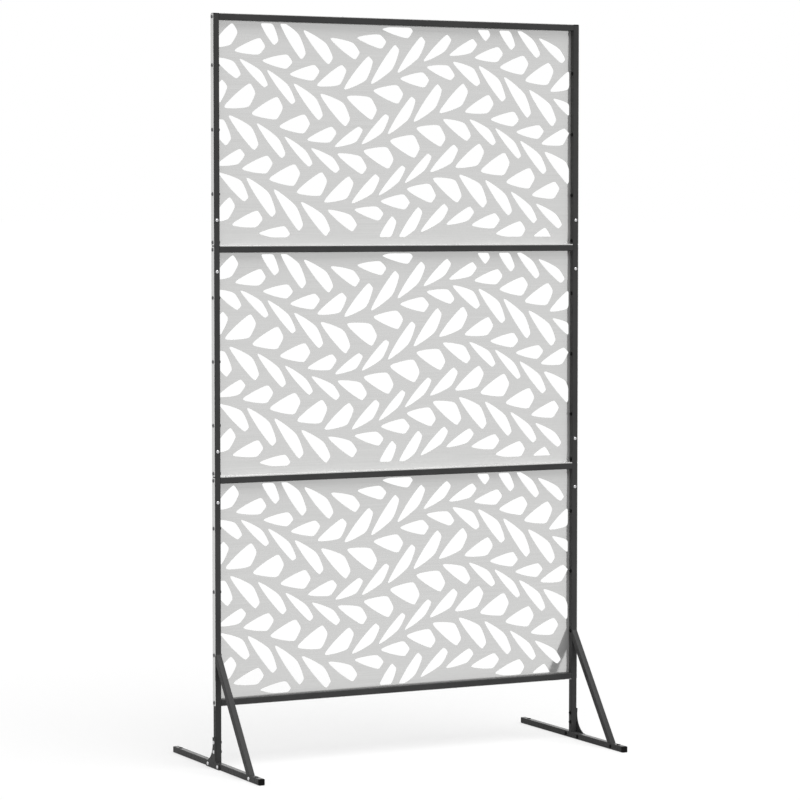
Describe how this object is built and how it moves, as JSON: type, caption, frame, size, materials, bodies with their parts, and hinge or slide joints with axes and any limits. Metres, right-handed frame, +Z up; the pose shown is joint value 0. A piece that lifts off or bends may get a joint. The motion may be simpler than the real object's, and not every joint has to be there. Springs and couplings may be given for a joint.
{
  "type": "privacy screen",
  "caption": "Free-standing privacy screen: folded, leaf-cut steel trays bolted to a square-tube frame on long feet with slanting braces.",
  "frame": {"origin": "on the ground, under the middle of the screen, between the two posts and midway along the feet", "axes": "+X along the screen from the left post to the right one, -Y to the side with the braces, +Z up"},
  "size_m": [1.0078, 0.512, 1.8],
  "materials": {
    "frame_coat": "dark grey powder coat, satin",
    "panel_steel": "bright, almost mirror-like sheet",
    "bolt_zinc": "bright zinc plate",
    "nut_black": "black plate",
    "cap_plastic": "black moulded plastic"
  },
  "bodies": {
    "root": {"bottom_rail": "frame_coat", "brace_foot_bolts": "bolt_zinc", "brace_foot_nuts": "nut_black", "foot_end_caps": "cap_plastic", "gusset_bolts": "bolt_zinc", "gusset_nuts": "nut_black", "joiner_screws": "bolt_zinc", "left_brace": "frame_coat", "left_foot": "frame_coat", "left_gusset": "frame_coat", "left_lower_joiner": "bolt_zinc", "left_post_lower": "frame_coat", "left_post_middle": "frame_coat", "left_post_upper": "frame_coat", "left_upper_joiner": "bolt_zinc", "lower_middle_rail": "frame_coat", "lower_panel": "panel_steel", "middle_panel": "panel_steel", "panel_side_bolts": "bolt_zinc", "panel_side_nuts": "nut_black", "post_top_caps": "cap_plastic", "rail_end_bolts": "bolt_zinc", "rail_end_inserts": "bolt_zinc", "right_brace": "frame_coat", "right_foot": "frame_coat", "right_gusset": "frame_coat", "right_lower_joiner": "bolt_zinc", "right_post_lower": "frame_coat", "right_post_middle": "frame_coat", "right_post_upper": "frame_coat", "right_upper_joiner": "bolt_zinc", "top_rail": "frame_coat", "upper_middle_rail": "frame_coat", "upper_panel": "panel_steel"}
  },
  "joints": []
}
